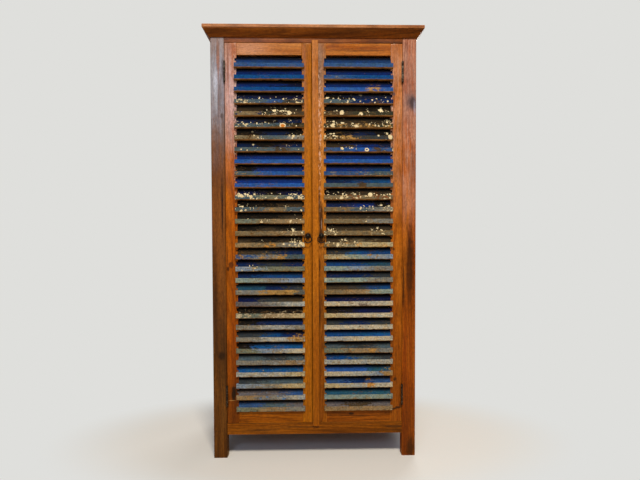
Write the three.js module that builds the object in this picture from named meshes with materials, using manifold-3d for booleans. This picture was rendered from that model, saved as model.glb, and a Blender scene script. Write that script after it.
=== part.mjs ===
// Louvred door cabinet in reclaimed hardwood, with two inset shutter doors.
// Millimetres, +Z up, the front faces -Y. The origin is on the floor, in the middle of the
// whole width and depth, cornice included.
import * as THREE from 'three';
import { mergeVertices } from 'three/addons/utils/BufferGeometryUtils.js';
import Module from 'manifold-3d';

const wasm = await Module();
wasm.setup();

// Case
const overall_height = 1900;
const body_width = 900;
const body_depth = 450;
const foot_height = 104;
const front_post_width = 60;
const back_post_width = 45;
const post_depth = 45;
const post_arris = 2.5;
const bottom_rail_height = 50;
const header_height = 54;
const side_rail_height = 60;
const side_rail_thickness = 24;
const side_rail_recess = 3;
const back_muntin_width = 60;
const panel_thickness = 10;
const panel_board_width = 88;
const panel_vee = 2;
const groove_depth = 8;
const bottom_board_thickness = 16;

// Top board and cornice
const top_board_thickness = 14;
const top_board_round = 2;
const cornice_overhang = 30;
const cornice_height = 34;
const cornice_lip = 3;
const cornice_foot = 3;
const cornice_fillet = 3;

// Shelves
const shelf_count = 3;
const shelf_thickness = 18;
const shelf_clearance = 1;
const cleat_width = 20;
const cleat_height = 22;
const stop_thickness = 16;
const stop_height = 44;
const stop_overlap = 14;

// Doors
const door_thickness = 34;
const door_side_gap = 1.6;
const door_end_gap = 2;
const door_meeting_gap = 3.5;
const right_door_reach = 7;
const hinge_stile_width = 51.5;
const right_meeting_stile_width = 60;
const door_top_rail_height = 51;
const door_bottom_rail_height = 50;

// Louvre slats
const slat_count = 30;
const slat_thickness = 20;
const slat_height = 48;
const slat_lean = THREE.MathUtils.degToRad(27);
const nose_height = 22.5;
const nose_projection = 11;
const nose_arris = 3.2;
const horn_length = 10;
const housing_depth = 9;
const lowest_slat_lift = 3;
const top_slat_drop = 11.5;

// Meeting strip
const strip_width = 26;
const strip_thickness = 9;
const strip_round = 4;
const strip_foot_round = 6;
const strip_foot_lap = 13;
const strip_head_lap = 8;

// Joinery
const tenon_length = 20;
const tenon_thickness = 10;
const tenon_shoulder = 8;
const fit = 0.2;
const running_fit = 0.3;
const overrun = 5;

// Butt hinges
const hinge_height = 90;
const hinge_inset = 79;
const hinge_leaf_depth = 24;
const hinge_leaf_thickness = 1.8;
const hinge_leaf_parting = 0.3;
const knuckle_radius = 4.8;
const knuckle_count = 5;
const knuckle_clearance = 0.5;
const pin_radius = 2;
const pin_head_radius = 3.4;
const pin_head_height = 2.2;

// Ring pulls
const pull_height = 990;
const left_pull_inset = 18;
const rose_radius = 11.5;
const rose_rim = 1.8;
const rose_dome = 6.5;
const rose_neck_radius = 5;
const ball_radius = 8;
const ball_reach = 16.5;
const ball_bore_radius = 3.4;
const tail_radius = 2.5;
const tail_length = 22;
const wire_radius = 2;
const ring_radius = 16;

// Numbers of sides on round shapes
const knuckle_sides = 16;
const turned_sides = 24;
const ball_rings = 8;
const pin_sides = 12;
const ring_steps = 36;
const wire_sides = 8;
const round_steps = 4;

// Colours, roughness and metalness of the materials
const varnished_teak = { color: 0x97500f, roughness: 0.38, metalness: 0 };
const dark_teak = { color: 0x5a3512, roughness: 0.42, metalness: 0 };
const red_teak = { color: 0x8a4418, roughness: 0.4, metalness: 0 };
const inner_board = { color: 0x8b6a43, roughness: 0.7, metalness: 0 };
const painted_slat = { color: 0x35507a, roughness: 0.75, metalness: 0 };
const old_iron = { color: 0x2c2926, roughness: 0.6, metalness: 0.8 };
const hinge_steel = { color: 0x4a4742, roughness: 0.5, metalness: 0.9 };

// Places worked out from the sizes above
const front = -(body_depth - cornice_overhang) / 2;
const back = front + body_depth;
const side = body_width / 2;
const case_top = overall_height - top_board_thickness;
const header_bottom = case_top - header_height;
const bottom_rail_top = foot_height + bottom_rail_height;
const post_inner = side - front_post_width;
const back_post_inner = side - back_post_width;
const behind_front_post = front + post_depth;
const before_back_post = back - post_depth;
const side_rail_outer = side - side_rail_recess;
const side_rail_inner = side_rail_outer - side_rail_thickness;
const side_rail_middle = (side_rail_outer + side_rail_inner) / 2;
const back_rail_back = back - side_rail_recess;
const back_rail_front = back_rail_back - side_rail_thickness;
const back_rail_middle = (back_rail_back + back_rail_front) / 2;
const panel_bottom = foot_height + side_rail_height;
const panel_top = case_top - side_rail_height;
const side_panel_inner = side_rail_middle - panel_thickness / 2;

const door_bottom = bottom_rail_top + door_end_gap;
const door_top = header_bottom - door_end_gap;
const door_back = front + door_thickness;
const door_outer = post_inner - door_side_gap;
const louvre_outer = door_outer - hinge_stile_width;
const louvre_inner = right_meeting_stile_width - right_door_reach;
const louvre_bottom = door_bottom + door_bottom_rail_height;
const louvre_top = door_top - door_top_rail_height;
const left_door_edge = right_door_reach + door_meeting_gap;

const lowest_slat = louvre_bottom + lowest_slat_lift;
const highest_slat = louvre_top - top_slat_drop - slat_height;
const slat_pitch = (highest_slat - lowest_slat) / (slat_count - 1);

const hinge_x = post_inner - door_side_gap / 2;
const hinge_y = front - knuckle_radius - running_fit;
const strip_right = strip_width - right_door_reach;
const ring_sag = ring_radius - Math.sqrt(ring_radius ** 2 - ball_radius ** 2);

// Each door as it lies on the right hand side. A hand of -1 mirrors it to the left.
const right_door = { hand: 1, name: 'right_door', edge: -right_door_reach,
  pull: strip_right + rose_radius + fit };
const left_door = { hand: -1, name: 'left_door', edge: left_door_edge,
  pull: left_door_edge + left_pull_inset };

// A geometry whose corners are shared becomes a solid that can be joined or cut.
function solidFrom(geometry) {
  const bare = geometry.clone();
  bare.deleteAttribute('normal');
  bare.deleteAttribute('uv');
  const merged = mergeVertices(bare);
  const vertProperties = Float32Array.from(merged.attributes.position.array);
  const triVerts = Uint32Array.from(merged.index.array);
  return new wasm.Manifold(new wasm.Mesh({ numProp: 3, vertProperties, triVerts }));
}

function geometryFrom(solid) {
  const mesh = solid.getMesh();
  const geometry = new THREE.BufferGeometry();
  geometry.setAttribute('position', new THREE.BufferAttribute(mesh.vertProperties, 3));
  geometry.setIndex(new THREE.BufferAttribute(mesh.triVerts, 1));
  return geometry;
}

function join(shapes) {
  return geometryFrom(shapes.map(solidFrom).reduce((whole, part) => whole.add(part)));
}

function cut(shape, tools) {
  return geometryFrom(tools.map(solidFrom).reduce((rest, tool) => rest.subtract(tool), solidFrom(shape)));
}

function common(shape, limit) {
  return geometryFrom(solidFrom(shape).intersect(solidFrom(limit)));
}

// Ranges: a pair of numbers along one axis, low end first
function around(middle, width) {
  return [middle - width / 2, middle + width / 2];
}

function widened([low, high], by) {
  return [low - by, high + by];
}

function handed(hand, [a, b]) {
  return hand > 0 ? [a, b] : [-b, -a];
}

// Basic shapes
function block([x0, x1], [y0, y1], [z0, z1]) {
  const shape = new THREE.BoxGeometry(x1 - x0, y1 - y0, z1 - z0);
  return shape.translate((x0 + x1) / 2, (y0 + y1) / 2, (z0 + z1) / 2);
}

function extruded(outline, depth) {
  const shape = Array.isArray(outline)
    ? new THREE.Shape(outline.map(([a, b]) => new THREE.Vector2(a, b)))
    : outline;
  return new THREE.ExtrudeGeometry(shape, { depth, bevelEnabled: false, curveSegments: round_steps });
}

// An outline of [y, z] points drawn out along X
function alongX(outline, [x0, x1]) {
  const turn = new THREE.Matrix4().makeBasis(
    new THREE.Vector3(0, 1, 0), new THREE.Vector3(0, 0, 1), new THREE.Vector3(1, 0, 0));
  return extruded(outline, x1 - x0).applyMatrix4(turn).translate(x0, 0, 0);
}

// An outline of [x, z] points drawn out along Y
function alongY(outline, [y0, y1]) {
  const turn = new THREE.Matrix4().makeBasis(
    new THREE.Vector3(1, 0, 0), new THREE.Vector3(0, 0, 1), new THREE.Vector3(0, -1, 0));
  return extruded(outline, y1 - y0).applyMatrix4(turn).translate(0, y1, 0);
}

// An outline of [x, y] points drawn out along Z
function alongZ(outline, [z0, z1]) {
  return extruded(outline, z1 - z0).translate(0, 0, z0);
}

// A convex outline, anticlockwise, with each edge moved outward by one clearance
function grown(outline, by) {
  const edges = outline.map(([x0, y0], i) => {
    const [x1, y1] = outline[(i + 1) % outline.length];
    const length = Math.hypot(x1 - x0, y1 - y0);
    const [nx, ny] = [(y1 - y0) / length, (x0 - x1) / length];
    return { nx, ny, offset: nx * x0 + ny * y0 + by };
  });
  return edges.map((edge, i) => {
    const before = edges[(i + edges.length - 1) % edges.length];
    const cross = before.nx * edge.ny - before.ny * edge.nx;
    return [
      (before.offset * edge.ny - edge.offset * before.ny) / cross,
      (before.nx * edge.offset - edge.nx * before.offset) / cross,
    ];
  });
}

// Mirror image of an outline of [x, y] or [x, z] points, kept anticlockwise
function mirrored(hand, outline) {
  return hand > 0 ? outline : outline.map(([x, other]) => [-x, other]).reverse();
}

const cabinet = new THREE.Group();
cabinet.name = 'louvred_door_cabinet';

function assembly(name) {
  const group = new THREE.Group();
  group.name = name;
  cabinet.add(group);
  return group;
}

function addPiece(group, name, geometry, finish) {
  const piece = new THREE.Mesh(geometry, new THREE.MeshStandardMaterial(finish));
  piece.name = name;
  group.add(piece);
}

// A rail has a stub tenon at each end: one bar runs through it and out past both shoulders.
function tenonBar(rail, axis) {
  const bar = {
    x: around((rail.x[0] + rail.x[1]) / 2, tenon_thickness),
    y: around((rail.y[0] + rail.y[1]) / 2, tenon_thickness),
    z: widened(rail.z, -tenon_shoulder),
  };
  bar[axis] = widened(rail[axis], tenon_length);
  return bar;
}

function railGeometry(rail, axis) {
  const body = { ...rail, [axis]: widened(rail[axis], -fit) };
  const bar = tenonBar(rail, axis);
  return join([block(body.x, body.y, body.z), block(bar.x, bar.y, bar.z)]);
}

function mortise(rail, axis, hand = 1) {
  const bar = tenonBar(rail, axis);
  return block(handed(hand, widened(bar.x, fit)), widened(bar.y, fit), widened(bar.z, fit));
}

// Frame rails of the case
const header_rail = {
  x: [-post_inner, post_inner], y: [front, door_back], z: [header_bottom, case_top - fit],
};
const bottom_rail = {
  x: [-post_inner, post_inner], y: [front, door_back], z: [foot_height, bottom_rail_top],
};
const side_lower_rail = {
  x: [side_rail_inner, side_rail_outer], y: [behind_front_post, before_back_post],
  z: [foot_height, panel_bottom],
};
const side_upper_rail = { ...side_lower_rail, z: [panel_top, case_top - fit] };
const back_lower_rail = {
  x: [-back_post_inner, back_post_inner], y: [back_rail_front, back_rail_back],
  z: [foot_height, panel_bottom],
};
const back_upper_rail = { ...back_lower_rail, z: [panel_top, case_top - fit] };
const back_muntin = {
  x: around(0, back_muntin_width), y: [back_rail_front, back_rail_back], z: [panel_bottom, panel_top],
};

// Grooves that hold the panels
const panel_length = widened([panel_bottom, panel_top], groove_depth);
const side_panel_groove_x = widened(around(side_rail_middle, panel_thickness), fit);
const side_panel_span = widened([behind_front_post, before_back_post], groove_depth);
const back_panel_groove_y = widened(around(back_rail_middle, panel_thickness), fit);
const back_panel_span = [back_muntin_width / 2 - groove_depth, back_post_inner + groove_depth];

function sidePanelGroove(hand) {
  return block(handed(hand, side_panel_groove_x), side_panel_span, panel_length);
}

function backPanelGroove(hand) {
  return block(handed(hand, back_panel_span), back_panel_groove_y, panel_length);
}

function hingeLeafRecess(hand, leaf_x, z) {
  return block(handed(hand, widened(leaf_x, fit)),
    [front - overrun, front + hinge_leaf_depth + fit], widened(z, fit));
}

const post_leaf_x = [hinge_x + hinge_leaf_parting, hinge_x + hinge_leaf_parting + hinge_leaf_thickness];
const door_leaf_x = [hinge_x - hinge_leaf_parting - hinge_leaf_thickness, hinge_x - hinge_leaf_parting];
const hinge_places = {
  upper: [door_top - hinge_inset - hinge_height, door_top - hinge_inset],
  lower: [door_bottom + hinge_inset, door_bottom + hinge_inset + hinge_height],
};

// Post outline with its four corners taken off
function postOutline([x0, x1], [y0, y1]) {
  const a = post_arris;
  return [
    [x0 + a, y0], [x1 - a, y0], [x1, y0 + a], [x1, y1 - a],
    [x1 - a, y1], [x0 + a, y1], [x0, y1 - a], [x0, y0 + a],
  ];
}

function buildPosts(group) {
  for (const [hand, word] of [[-1, 'left'], [1, 'right']]) {
    const front_outline = postOutline(handed(hand, [post_inner, side]), [front, behind_front_post]);
    addPiece(group, `${word}_front_post`, cut(alongZ(front_outline, [0, case_top - fit]), [
      mortise(header_rail, 'x'),
      mortise(bottom_rail, 'x'),
      mortise(side_lower_rail, 'y', hand),
      mortise(side_upper_rail, 'y', hand),
      sidePanelGroove(hand),
      ...Object.values(hinge_places).map((z) => hingeLeafRecess(hand, post_leaf_x, z)),
    ]), hand < 0 ? dark_teak : red_teak);

    const back_outline = postOutline(handed(hand, [back_post_inner, side]), [before_back_post, back]);
    addPiece(group, `${word}_back_post`, cut(alongZ(back_outline, [0, case_top - fit]), [
      mortise(back_lower_rail, 'x'),
      mortise(back_upper_rail, 'x'),
      mortise(side_lower_rail, 'y', hand),
      mortise(side_upper_rail, 'y', hand),
      sidePanelGroove(hand),
      backPanelGroove(hand),
    ]), dark_teak);
  }
}

function buildFrontRails(group) {
  addPiece(group, 'front_header_rail', railGeometry(header_rail, 'x'), varnished_teak);
  addPiece(group, 'front_bottom_rail', railGeometry(bottom_rail, 'x'), varnished_teak);
}

// The bottom board lies in a groove of each lower side rail.
const bottom_board_z = [bottom_rail_top - bottom_board_thickness, bottom_rail_top];

function buildSides(group) {
  for (const [hand, word] of [[-1, 'left'], [1, 'right']]) {
    const board_groove = block(
      handed(hand, [side_rail_inner - overrun, side_rail_inner + groove_depth]),
      widened(side_lower_rail.y, overrun), widened(bottom_board_z, fit));
    const rails = { lower: side_lower_rail, upper: side_upper_rail };
    for (const [place, rail] of Object.entries(rails)) {
      const own = { ...rail, x: handed(hand, rail.x) };
      const cuts = [sidePanelGroove(hand)];
      if (rail === side_lower_rail) cuts.push(board_groove);
      addPiece(group, `${word}_side_${place}_rail`, cut(railGeometry(own, 'y'), cuts), dark_teak);
    }
    const panel = boardedOutline(widened(side_panel_span, -fit), side_rail_middle)
      .map(([along, across]) => [across, along]).reverse();
    addPiece(group, `${word}_side_panel`,
      alongZ(mirrored(hand, panel), widened(panel_length, -fit)), dark_teak);
  }
}

// Outline of a panel of narrow boards: a vee groove shows at each joint on the outer face.
function boardedOutline([start, end], middle) {
  const outer = middle + panel_thickness / 2;
  const inner = middle - panel_thickness / 2;
  const count = Math.max(1, Math.round((end - start) / panel_board_width));
  const points = [[start, inner], [end, inner], [end, outer]];
  for (let i = count - 1; i > 0; i -= 1) {
    const joint = start + ((end - start) * i) / count;
    points.push([joint + panel_vee, outer], [joint, outer - panel_vee], [joint - panel_vee, outer]);
  }
  points.push([start, outer]);
  return points;
}

function buildBack(group) {
  const grooves = [backPanelGroove(-1), backPanelGroove(1)];
  const rails = { lower: back_lower_rail, upper: back_upper_rail };
  for (const [place, rail] of Object.entries(rails)) {
    addPiece(group, `back_${place}_rail`,
      cut(railGeometry(rail, 'x'), [...grooves, mortise(back_muntin, 'z')]), dark_teak);
  }
  addPiece(group, 'back_muntin', cut(railGeometry(back_muntin, 'z'), grooves), dark_teak);
  for (const [hand, word] of [[-1, 'left'], [1, 'right']]) {
    const outline = boardedOutline(widened(back_panel_span, -fit), back_rail_middle);
    addPiece(group, `${word}_back_panel`,
      alongZ(mirrored(hand, outline), widened(panel_length, -fit)), inner_board);
  }
}

// Half of a board's outline, from the front to the back, is mirrored for the other half.
function symmetricOutline(half) {
  return [...half, ...mirrored(-1, half)];
}

function buildBottomBoard(group) {
  const groove_bottom = side_rail_inner + groove_depth - fit;
  addPiece(group, 'bottom_board', alongZ(symmetricOutline([
    [post_inner - fit, door_back + fit],
    [post_inner - fit, behind_front_post + fit],
    [groove_bottom, behind_front_post + fit],
    [groove_bottom, before_back_post - fit],
    [back_post_inner - fit, before_back_post - fit],
    [back_post_inner - fit, back_rail_front - fit],
  ]), bottom_board_z), inner_board);
}

function buildShelves(group) {
  const clear = (case_top - bottom_rail_top - shelf_count * shelf_thickness) / (shelf_count + 1);
  const shelf_side = side_panel_inner - shelf_clearance;
  const outline = symmetricOutline([
    [shelf_side, behind_front_post + shelf_clearance],
    [shelf_side, before_back_post - shelf_clearance],
    [back_post_inner - shelf_clearance, before_back_post - shelf_clearance],
    [back_post_inner - shelf_clearance, back_rail_front - shelf_clearance],
  ]);
  ['lower', 'middle', 'upper'].slice(0, shelf_count).forEach((place, i) => {
    const underside = bottom_rail_top + clear * (i + 1) + shelf_thickness * i;
    addPiece(group, `${place}_shelf`,
      alongZ(outline, [underside, underside + shelf_thickness]), inner_board);
    for (const [hand, word] of [[-1, 'left'], [1, 'right']]) {
      addPiece(group, `${word}_${place}_cleat`, block(
        handed(hand, [side_panel_inner - fit - cleat_width, side_panel_inner - fit]),
        widened([behind_front_post, before_back_post], -fit),
        [underside - fit - cleat_height, underside - fit]), inner_board);
    }
  });
}

function buildStop(group) {
  const bottom = header_bottom - stop_overlap;
  addPiece(group, 'door_stop_batten', block(
    widened([-post_inner, post_inner], -fit),
    [door_back + fit, door_back + fit + stop_thickness],
    [bottom, bottom + stop_height]), varnished_teak);
}

function buildTop(group) {
  const r = top_board_round;
  const reach = side + cornice_overhang - r;
  const front_edge = front - cornice_overhang + r;
  const plan = new THREE.Shape();
  plan.moveTo(-reach, front_edge);
  plan.lineTo(reach, front_edge);
  plan.lineTo(reach, back - r);
  plan.lineTo(-reach, back - r);
  plan.closePath();
  const board = new THREE.ExtrudeGeometry(plan, {
    depth: top_board_thickness - 2 * r,
    bevelEnabled: true,
    bevelThickness: r,
    bevelSize: r,
    bevelSegments: round_steps,
  });
  addPiece(group, 'top_board', board.translate(0, 0, case_top + r), red_teak);
}

// Cornice section: distance out from the case, then height above its lower edge
function corniceSection() {
  const run = cornice_overhang - cornice_lip;
  const bottom = case_top - cornice_height;
  return [
    [fit, bottom],
    [cornice_foot, bottom],
    [run, case_top - cornice_fillet],
    [run, case_top - fit],
    [fit, case_top - fit],
  ];
}

function buildCornice(group) {
  const run = cornice_overhang - cornice_lip;
  const reach = run + overrun;
  const heights = widened([case_top - cornice_height, case_top], overrun);
  const front_section = corniceSection().map(([out, z]) => [front - out, z]).reverse();
  const mitres = [-1, 1].map((hand) => alongZ(mirrored(hand, [
    [side - fit, front], [side - fit + reach, front - reach], [side - fit + reach, front],
  ]), heights));
  addPiece(group, 'front_cornice_moulding',
    cut(alongX(front_section, [-side - run, side + run]), mitres), varnished_teak);

  for (const [hand, word] of [[-1, 'left'], [1, 'right']]) {
    const section = corniceSection().map(([out, z]) => [side + out, z]);
    const mitre = alongZ(mirrored(hand, [
      [side + fit, front], [side + fit - overrun, front],
      [side + fit - overrun, front - reach], [side + fit + reach, front - reach],
    ]), heights);
    addPiece(group, `${word}_cornice_moulding`,
      cut(alongY(mirrored(hand, section), [front - run, back]), [mitre]), varnished_teak);
  }
}

// Slat section as [y, z] points, from the front face of the door and the slat's underside
const slat_setback = (slat_height - nose_height) * Math.tan(slat_lean) - nose_projection;
const slat_run = slat_thickness / Math.cos(slat_lean);
const slat_underside_back = slat_setback + slat_run - slat_height * Math.tan(slat_lean);

function slatSection() {
  return [
    [nose_arris - nose_projection, 0],
    [slat_underside_back, 0],
    [slat_setback + slat_run, slat_height],
    [slat_setback, slat_height],
    [-nose_projection, nose_height],
    [-nose_projection, nose_arris],
  ];
}

function noseSection() {
  return [
    [nose_arris - nose_projection, 0],
    [-running_fit, 0],
    [-running_fit, nose_height],
    [-nose_projection, nose_height],
    [-nose_projection, nose_arris],
  ];
}

function shifted(outline, z) {
  return outline.map(([y, up]) => [front + y, z + up]);
}

function slatHeights() {
  return Array.from({ length: slat_count }, (_, i) => lowest_slat + i * slat_pitch);
}

// One slat spans the opening, its end sits in a housing, and its nose laps over both stiles.
function slatSolid(hand, z) {
  const section = shifted(slatSection(), z);
  const span = alongX(section, handed(hand, [louvre_inner, louvre_outer + overrun]));
  const end = handed(hand, [louvre_inner - housing_depth, louvre_inner + overrun]);
  const behind_face = block(widened(end, overrun), [front + running_fit, door_back],
    [z - overrun, z + slat_height + overrun]);
  const tongue = common(alongX(section, end), behind_face);
  const nose = alongX(shifted(noseSection(), z),
    handed(hand, [louvre_inner - horn_length, louvre_outer + horn_length]));
  const over_stile = block(handed(hand, [louvre_outer, louvre_outer + 2 * overrun]),
    [front - 2 * nose_projection, front], [z - overrun, z + slat_height + overrun]);
  return join([cut(span, [over_stile]), tongue, nose]);
}

function housing(hand, z) {
  return alongX(grown(shifted(slatSection(), z), running_fit),
    handed(hand, [louvre_inner - housing_depth - running_fit, louvre_inner + overrun]));
}

function doorRails(door) {
  const x = [louvre_inner, louvre_outer];
  const y = [front, door_back];
  return {
    top: { x, y, z: [louvre_top, door_top] },
    bottom: { x, y, z: [door_bottom, louvre_bottom] },
  };
}

function buildDoor(door) {
  const { hand, name } = door;
  const group = assembly(name);
  const y = [front, door_back];
  const rails = doorRails(door);
  const mortises = Object.values(rails).map((rail) => mortise(rail, 'x', hand));

  const hinge_stile = block(handed(hand, [louvre_outer, door_outer]), y, [door_bottom, door_top]);
  const recesses = Object.values(hinge_places).map((z) => hingeLeafRecess(hand, door_leaf_x, z));
  const stile = cut(hinge_stile, [...mortises, ...recesses]);
  addPiece(group, `${name}_louvres`,
    join([stile, ...slatHeights().map((z) => slatSolid(hand, z))]), painted_slat);

  const meeting_stile = block(handed(hand, [door.edge, louvre_inner]), y, [door_bottom, door_top]);
  const tail_bore = turned([
    [0, -overrun], [tail_radius + fit, -overrun],
    [tail_radius + fit, tail_length + fit], [0, tail_length + fit],
  ]).translate(hand * door.pull, front, pull_height);
  const housings = slatHeights().map((z) => housing(hand, z));
  addPiece(group, `${name}_meeting_stile`,
    cut(meeting_stile, [...mortises, ...housings, tail_bore]), varnished_teak);

  for (const [place, rail] of Object.entries(rails)) {
    const own = { ...rail, x: handed(hand, rail.x) };
    addPiece(group, `${name}_${place}_rail`, railGeometry(own, 'x'), varnished_teak);
  }
  buildPull(group, door);
  return group;
}

// A turned shape about the Y axis, from [radius, y] points in order of rising y
function turned(profile, sides = turned_sides) {
  const points = profile.map(([radius, y]) => new THREE.Vector2(radius, y));
  return new THREE.LatheGeometry(points, sides);
}

// A ring pull: a domed rose with a drilled ball in front and a tail in the stile
function buildPull(group, door) {
  const ball_start = Math.asin(rose_neck_radius / ball_radius);
  const ball = Array.from({ length: ball_rings }, (_, i) => {
    const angle = (Math.PI - ball_start) * (i / ball_rings);
    return [ball_radius * Math.sin(angle), -ball_reach - ball_radius * Math.cos(angle)];
  });
  const neck_y = -ball_reach + ball_radius * Math.cos(ball_start);
  const rose = turned([
    ...ball,
    [rose_neck_radius, neck_y],
    [rose_neck_radius, -rose_dome - rose_rim],
    [(rose_radius + rose_neck_radius) / 2, -rose_dome],
    [rose_radius - rose_rim / 2, -2 * rose_rim],
    [rose_radius, -rose_rim],
    [rose_radius, -fit],
    [tail_radius, -fit],
    [tail_radius, tail_length],
    [0, tail_length],
  ]);
  const bore = new THREE.CylinderGeometry(ball_bore_radius, ball_bore_radius, 2 * ball_radius + overrun,
    knuckle_sides).rotateZ(Math.PI / 2).translate(0, -ball_reach, 0);
  const place = [door.hand * door.pull, front, pull_height];
  addPiece(group, `${door.name}_pull_rose`, cut(rose, [bore]).translate(...place), old_iron);

  const ring = new THREE.TorusGeometry(ring_radius, wire_radius, wire_sides, ring_steps);
  ring.rotateX(Math.PI / 2).translate(0, -ball_reach, ring_sag / 2 - ring_radius);
  addPiece(group, `${door.name}_pull_ring`, ring.translate(...place), old_iron);
}

// The raised strip on the right door laps over the header and the bottom rail as its stop.
// Its two front arrises are rounded, and so are the corners of its lower end.
function buildMeetingStrip(group) {
  const x0 = -right_door_reach;
  const face = front - running_fit;
  const nose = face - strip_thickness;
  const section = new THREE.Shape();
  section.moveTo(x0, face);
  section.lineTo(x0, nose + strip_round);
  section.absarc(x0 + strip_round, nose + strip_round, strip_round, Math.PI, 1.5 * Math.PI, false);
  section.lineTo(strip_right - strip_round, nose);
  section.absarc(strip_right - strip_round, nose + strip_round, strip_round, 1.5 * Math.PI, 2 * Math.PI,
    false);
  section.lineTo(strip_right, face);
  section.closePath();

  const low = bottom_rail_top - strip_foot_lap;
  const high = header_bottom + strip_head_lap;
  const r = strip_foot_round;
  const elevation = new THREE.Shape();
  elevation.moveTo(x0, high);
  elevation.lineTo(x0, low + r);
  elevation.absarc(x0 + r, low + r, r, Math.PI, 1.5 * Math.PI, false);
  elevation.lineTo(strip_right - r, low);
  elevation.absarc(strip_right - r, low + r, r, 1.5 * Math.PI, 2 * Math.PI, false);
  elevation.lineTo(strip_right, high);
  elevation.closePath();
  addPiece(group, 'right_door_meeting_strip',
    common(alongZ(section, [low, high + overrun]), alongY(elevation, [nose - overrun, face + overrun])),
    varnished_teak);
}

// Butt hinges: the post leaf has the outer and middle knuckles, the door leaf the others.
function knuckleRange(z, i) {
  const pitch = (z[1] - z[0]) / knuckle_count;
  return widened([z[0] + i * pitch, z[0] + (i + 1) * pitch], -knuckle_clearance / 2);
}

function buildHingeLeaf(group, name, hand, leaf_x, z, first) {
  const plate = block(handed(hand, leaf_x), [front + fit, front + hinge_leaf_depth],
    widened(z, -knuckle_clearance / 2));
  const shapes = [plate];
  const bore_radius = pin_radius + running_fit;
  for (let i = first; i < knuckle_count; i += 2) {
    const range = knuckleRange(z, i);
    const middle = (range[0] + range[1]) / 2;
    shapes.push(new THREE.CylinderGeometry(knuckle_radius, knuckle_radius, range[1] - range[0], knuckle_sides)
      .rotateX(Math.PI / 2).translate(hand * hinge_x, hinge_y, middle));
    shapes.push(block(handed(hand, leaf_x), [hinge_y, front + 2 * fit], range));
  }
  const bore = new THREE.CylinderGeometry(bore_radius, bore_radius, z[1] - z[0] + overrun, knuckle_sides)
    .rotateX(Math.PI / 2).translate(hand * hinge_x, hinge_y, (z[0] + z[1]) / 2);
  addPiece(group, name, cut(join(shapes), [bore]), hinge_steel);
}

// The pin is held by its two heads.
function buildHingePin(group, name, hand, z) {
  const low = z[0] - pin_head_height;
  const high = z[1] + pin_head_height;
  const pin = turned([
    [0, low],
    [pin_head_radius - pin_head_height / 2, low],
    [pin_head_radius, low + pin_head_height / 2],
    [pin_head_radius, z[0]],
    [pin_radius, z[0]],
    [pin_radius, z[1]],
    [pin_head_radius, z[1]],
    [pin_head_radius, high - pin_head_height / 2],
    [pin_head_radius - pin_head_height / 2, high],
    [0, high],
  ], pin_sides);
  addPiece(group, name, pin.rotateX(Math.PI / 2).translate(hand * hinge_x, hinge_y, 0), hinge_steel);
}

function buildHinges(case_group, door_group, door) {
  for (const [place, z] of Object.entries(hinge_places)) {
    const name = `${door.name}_${place}_hinge`;
    buildHingeLeaf(case_group, `${name}_post_leaf`, door.hand, post_leaf_x, z, 0);
    buildHingeLeaf(door_group, `${name}_door_leaf`, door.hand, door_leaf_x, z, 1);
    buildHingePin(case_group, `${name}_pin`, door.hand, z);
  }
}

const carcass = assembly('carcass');
buildPosts(carcass);
buildFrontRails(carcass);
buildSides(carcass);
buildBack(carcass);
buildBottomBoard(carcass);
buildShelves(carcass);
buildStop(carcass);
buildTop(carcass);
buildCornice(carcass);

const left_group = buildDoor(left_door);
const right_group = buildDoor(right_door);
buildMeetingStrip(right_group);
buildHinges(carcass, left_group, left_door);
buildHinges(carcass, right_group, right_door);

export default cabinet;
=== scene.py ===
# Louvred door cabinet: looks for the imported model, in metres. The front faces -Y.
import math
import random
from functools import partial

import bmesh
import bpy
from mathutils import Matrix, Vector, noise


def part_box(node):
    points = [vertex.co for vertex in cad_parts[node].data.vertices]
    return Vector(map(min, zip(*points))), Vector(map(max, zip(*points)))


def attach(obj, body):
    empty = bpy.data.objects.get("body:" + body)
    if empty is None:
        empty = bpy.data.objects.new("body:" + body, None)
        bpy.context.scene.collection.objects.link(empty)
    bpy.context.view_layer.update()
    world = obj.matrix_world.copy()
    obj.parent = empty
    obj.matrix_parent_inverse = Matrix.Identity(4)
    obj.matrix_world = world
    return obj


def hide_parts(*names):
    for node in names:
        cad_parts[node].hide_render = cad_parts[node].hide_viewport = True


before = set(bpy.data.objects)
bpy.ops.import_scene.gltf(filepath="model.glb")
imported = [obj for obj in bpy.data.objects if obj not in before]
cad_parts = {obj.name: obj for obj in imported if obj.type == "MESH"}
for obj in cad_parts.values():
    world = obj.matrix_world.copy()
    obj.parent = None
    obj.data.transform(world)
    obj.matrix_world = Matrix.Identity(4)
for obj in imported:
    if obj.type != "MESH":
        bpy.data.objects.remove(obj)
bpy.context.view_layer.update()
mm = 0.001

# Camera. The photograph is taken from breast height, a little left of the middle and 2.1 m
# away. The place and the turns, in degrees, were fitted to the edges in it.
camera_place = Vector((-0.0246, -2.3296, 1.0391))
camera_yaw, camera_pitch, camera_roll = (math.radians(a) for a in (1.34, 1.83, -0.16))
lens_length = 27


def show(name, data):
    """Puts data in the scene as an object."""
    made = bpy.data.objects.new(name, data)
    bpy.context.collection.objects.link(made)
    return made


forward = Vector((math.sin(camera_yaw) * math.cos(camera_pitch),
                  math.cos(camera_yaw) * math.cos(camera_pitch),
                  -math.sin(camera_pitch)))
level_right = Vector((math.cos(camera_yaw), -math.sin(camera_yaw), 0))
level_up = level_right.cross(forward)
right = math.cos(camera_roll) * level_right + math.sin(camera_roll) * level_up
up = math.cos(camera_roll) * level_up - math.sin(camera_roll) * level_right
camera = show("camera", bpy.data.cameras.new("camera"))
camera.data.lens = lens_length
camera.matrix_world = Matrix((right, up, -forward)).transposed().to_4x4()
camera.location = camera_place
bpy.context.scene.camera = camera
bpy.context.scene.view_settings.view_transform = "Standard"

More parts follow.
